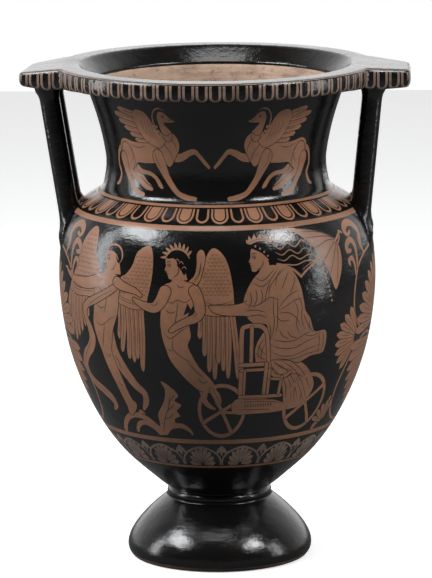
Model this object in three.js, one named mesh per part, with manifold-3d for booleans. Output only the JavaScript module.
// A column krater: a fired-clay bowl for mixing wine and water, on a spreading foot.
// Millimetres, +Z up. The origin is the centre of the ring that the krater stands on,
// the handles lie along X, and the main picture faces -Y.
import * as THREE from 'three';
import { mergeVertices } from 'three/addons/utils/BufferGeometryUtils.js';
import Module from 'manifold-3d';

// Heights
const HEIGHT = 451;
const RIM_THICKNESS = 16.5;
const RIM_UNDERSIDE = HEIGHT - RIM_THICKNESS;

// The outside, as [radius, height] points
const FOOT_DOME = [[80.5, 0], [91.5, 11], [75, 33], [49, 53.5]]; // control points of its curve
const JOINT_RING = { radius: 43, height: 58, thickness: 4.5 }; // where the foot meets the bowl
const BELLY = [
  [47, 63.5], [60, 74], [87.7, 100], [108.9, 130], [127.5, 170], [138.5, 210], [143.3, 257],
  [139.4, 300], [130, 321],
];
const SHOULDER = [[130, 321], [121.5, 331.5], [102.5, 335], [101.3, 345]]; // control points
const NECK = [[101.3, 345], [99, 365], [104.3, 395], [113.2, 424], [118, RIM_UNDERSIDE]];
const RIM_R = 143.5;
const RIM_EDGE = [
  [138.5, RIM_UNDERSIDE], [142.5, 437], [RIM_R, 441.5], [RIM_R, HEIGHT - 4], [140.5, HEIGHT],
];

// The inside
const WALL = 8.5;
const MOUTH_R = 123.5;
const LIP = [[111.5, 437], [121.5, 448], [MOUTH_R, HEIGHT]]; // slopes in from the rim's flat top
const LIP_CLEARANCE = 2; // the wall's curve stops this far below the lip
const FLOOR_Z = 79;
const FLOOR_R = 55; // the floor's own curve ends here and the wall's begins
const FLOOR_CURVE = [[0, FLOOR_Z], [28, FLOOR_Z], [44, FLOOR_Z + 5]]; // control points
const FOOT_HOLLOW = [[66.5, 0], [64, 18], [34, 36], [22, 54]]; // control points, under the foot
const FOOT_HOLLOW_Z = 62;

// Handles: two columns a side, under a plate that runs out from the rim
const COLUMN_R = 9;
const COLUMN_FLARE_R = 12;
const COLUMN_FLARE_LENGTH = 9;
const COLUMN_BURIED = 3; // how far a column's head reaches up into the plate
const COLUMN_SPACING = 44;
const COLUMN_FOOT = { x: 126.8, z: 283 };
const PLATE_END_X = 175.3;
const PLATE_ROOT_X = 136;
const PLATE_ROOT_HALF = 45.5;
const PLATE_END_HALF = 27;
const PLATE_CORNER = 5;
const PLATE_EDGE = 3; // softening of the end's upper and lower edges
const PLATE_BEND_X = 134.5; // from here the plate's top slopes down to its end
const PLATE_SAG = { x: 148.5, z: RIM_UNDERSIDE - 4 }; // the thickest place of its underside
// The two handles were shaped by hand, so they differ a little
const HANDLES = [
  { side: -1, columnTopX: 150, plateDrop: 5.5, endThickness: 12, farCornerInset: 6 },
  { side: 1, columnTopX: 142, plateDrop: 4, endThickness: 16, farCornerInset: 0 },
];

// Facets
const TURNS = 60; // facets round the vessel
const INNER_STEPS = { belly: 10, shoulder: 4, neck: 5 }; // rings of facets up the inside
const COLUMN_TURNS = 16;
const OVERLAP = 10; // how far pieces reach into each other, and cutters past the clay

const wasm = await Module();
wasm.setup();

const point = (r, z) => new THREE.Vector2(r, z);

// Joins curves and single points into one outline, without repeating shared ends
function outline(...stretches) {
  const joined = [];
  for (const stretch of stretches) {
    const next = stretch.curve ? stretch.curve.getPoints(stretch.steps) : [stretch];
    for (const candidate of next) {
      const last = joined[joined.length - 1];
      if (!last || last.distanceTo(candidate) > 0.01) joined.push(candidate);
    }
  }
  return joined;
}

const points = (table) => table.map(([r, z]) => point(r, z));
const spline = (steps, table) => ({ curve: new THREE.SplineCurve(points(table)), steps });
const bezier = (steps, table) => ({ curve: new THREE.CubicBezierCurve(...points(table)), steps });

// A mesh from three.js as a solid that can be joined and cut
function solid(geometry) {
  const bare = geometry.clone();
  bare.deleteAttribute('normal');
  bare.deleteAttribute('uv');
  const merged = mergeVertices(bare, 1e-3);
  const corners = merged.index.array;
  const triangles = [];
  for (let i = 0; i < corners.length; i += 3) {
    const [a, b, c] = [corners[i], corners[i + 1], corners[i + 2]];
    if (a !== b && b !== c && c !== a) triangles.push(a, b, c);
  }
  return new wasm.Manifold(new wasm.Mesh({
    numProp: 3,
    vertProperties: new Float32Array(merged.attributes.position.array),
    triVerts: new Uint32Array(triangles),
  }));
}

function geometryOf(manifold) {
  const mesh = manifold.getMesh();
  const geometry = new THREE.BufferGeometry();
  geometry.setAttribute('position', new THREE.BufferAttribute(mesh.vertProperties, 3));
  geometry.setIndex(new THREE.BufferAttribute(mesh.triVerts, 1));
  geometry.computeVertexNormals();
  return geometry;
}

// Turns an outline of (radius, height) points about the vertical axis
function turned(points, turns) {
  return new THREE.LatheGeometry(points, turns).rotateX(Math.PI / 2);
}

const bellyWall = spline(13, BELLY);
const shoulder = bezier(5, SHOULDER);
const neckWall = spline(7, NECK);

function vesselOutside() {
  const { radius, height, thickness } = JOINT_RING;
  const jointRing = {
    curve: new THREE.EllipseCurve(
      radius, height, thickness, thickness, -Math.PI / 4, Math.PI / 3,
    ),
    steps: 4,
  };
  return outline(
    point(0, 0), bezier(6, FOOT_DOME), jointRing, bellyWall, shoulder, neckWall,
    ...points(RIM_EDGE), point(0, HEIGHT),
  );
}

// The hollow inside: the outside wall moved in by the wall's thickness, down to a round floor
function vesselInside() {
  const stretches = [
    [bellyWall.curve, INNER_STEPS.belly], [shoulder.curve, INNER_STEPS.shoulder],
    [neckWall.curve, INNER_STEPS.neck],
  ];
  const wall = stretches.flatMap(([curve, steps]) => {
    const places = [...Array(steps).keys()].map((step) => (step + 0.5) / steps);
    return places.map((t) => {
      const at = curve.getPointAt(t);
      const along = curve.getTangentAt(t);
      return point(at.x - along.y * WALL, at.y + along.x * WALL);
    });
  }).filter(({ x, y }) => x > FLOOR_R && y < LIP[0][1] - LIP_CLEARANCE);
  const floor = bezier(4, [...FLOOR_CURVE, wall[0].toArray()]);
  return outline(
    floor, ...wall, ...points(LIP), point(MOUTH_R, HEIGHT + OVERLAP), point(0, HEIGHT + OVERLAP),
  );
}

// The hollow under the foot
function footHollow() {
  return outline(
    point(0, -OVERLAP), point(FOOT_HOLLOW[0][0], -OVERLAP), bezier(5, FOOT_HOLLOW),
    point(0, FOOT_HOLLOW_Z),
  );
}

// One leaning column, from inside the shoulder to inside the plate
function column(handle, y) {
  const lift = RIM_UNDERSIDE - COLUMN_FOOT.z;
  const lean = Math.atan2(handle.columnTopX - COLUMN_FOOT.x, lift);
  const length = Math.hypot(handle.columnTopX - COLUMN_FOOT.x, lift);
  const flare = bezier(3, [
    [COLUMN_R, length - COLUMN_FLARE_LENGTH], [COLUMN_R, length - 4], [COLUMN_R + 1, length - 2],
    [COLUMN_FLARE_R, length - 1],
  ]);
  const head = length + COLUMN_BURIED;
  const profile = outline(
    point(0, 0), point(COLUMN_R, 0), flare, point(COLUMN_FLARE_R, head), point(0, head),
  );
  const shape = turned(profile, COLUMN_TURNS);
  shape.rotateY(handle.side * lean);
  return shape.translate(handle.side * COLUMN_FOOT.x, y, COLUMN_FOOT.z);
}

// A flat shape pushed along its normal to the given length
function pushed(points, length) {
  return new THREE.ExtrudeGeometry(new THREE.Shape(points), { depth: length, bevelEnabled: false });
}

// The plate over one handle: its side profile, trimmed to its plan
function plate(handle) {
  const { side, plateDrop, endThickness, farCornerInset } = handle;
  const rootX = MOUTH_R - OVERLAP;
  const endTop = HEIGHT - plateDrop;
  const underEnd = endTop - endThickness;
  const profile = [
    [rootX, RIM_UNDERSIDE], [PLATE_SAG.x, PLATE_SAG.z], [PLATE_END_X - PLATE_EDGE, underEnd],
    [PLATE_END_X, underEnd + PLATE_EDGE], [PLATE_END_X, endTop - PLATE_EDGE],
    [PLATE_END_X - PLATE_EDGE, endTop], [PLATE_BEND_X, HEIGHT], [rootX, HEIGHT],
  ];
  const slab = pushed(profile.map(([x, z]) => point(x, z)), 4 * PLATE_ROOT_HALF);
  slab.rotateX(Math.PI / 2).translate(0, 2 * PLATE_ROOT_HALF, 0);

  const taper = (PLATE_ROOT_HALF - PLATE_END_HALF) / (PLATE_END_X - PLATE_ROOT_X);
  const innerHalf = PLATE_ROOT_HALF + taper * (PLATE_ROOT_X - rootX);
  const farEndX = PLATE_END_X - farCornerInset;
  const farEndHalf = PLATE_END_HALF + taper * farCornerInset;
  const plan = [
    [rootX, -innerHalf],
    [PLATE_END_X - PLATE_CORNER, -PLATE_END_HALF - taper * PLATE_CORNER],
    [PLATE_END_X - PLATE_CORNER / 4, -PLATE_END_HALF + 1],
    [PLATE_END_X, -PLATE_END_HALF + PLATE_CORNER],
    [farEndX, farEndHalf - PLATE_CORNER],
    [farEndX - PLATE_CORNER / 4, farEndHalf - 1],
    [farEndX - PLATE_CORNER, farEndHalf + taper * PLATE_CORNER],
    [rootX, innerHalf],
  ];
  const trim = pushed(plan.map(([x, y]) => point(x, y)), 4 * RIM_THICKNESS);
  trim.translate(0, 0, RIM_UNDERSIDE - 2 * RIM_THICKNESS);
  const shape = solid(slab).intersect(solid(trim));
  return side > 0 ? shape : shape.mirror([1, 0, 0]);
}

function krater() {
  let clay = solid(turned(vesselOutside(), TURNS));
  for (const handle of HANDLES) {
    clay = clay.add(plate(handle));
    for (const y of [-COLUMN_SPACING / 2, COLUMN_SPACING / 2]) {
      clay = clay.add(solid(column(handle, y)));
    }
  }
  clay = clay.subtract(solid(turned(vesselInside(), TURNS)));
  clay = clay.subtract(solid(turned(footHollow(), TURNS)));
  const mesh = new THREE.Mesh(
    geometryOf(clay),
    new THREE.MeshStandardMaterial({ color: 0x1c1a19, roughness: 0.28, metalness: 0 }),
  );
  mesh.name = 'krater';
  return mesh;
}

const group = new THREE.Group();
group.add(krater());

export default group;
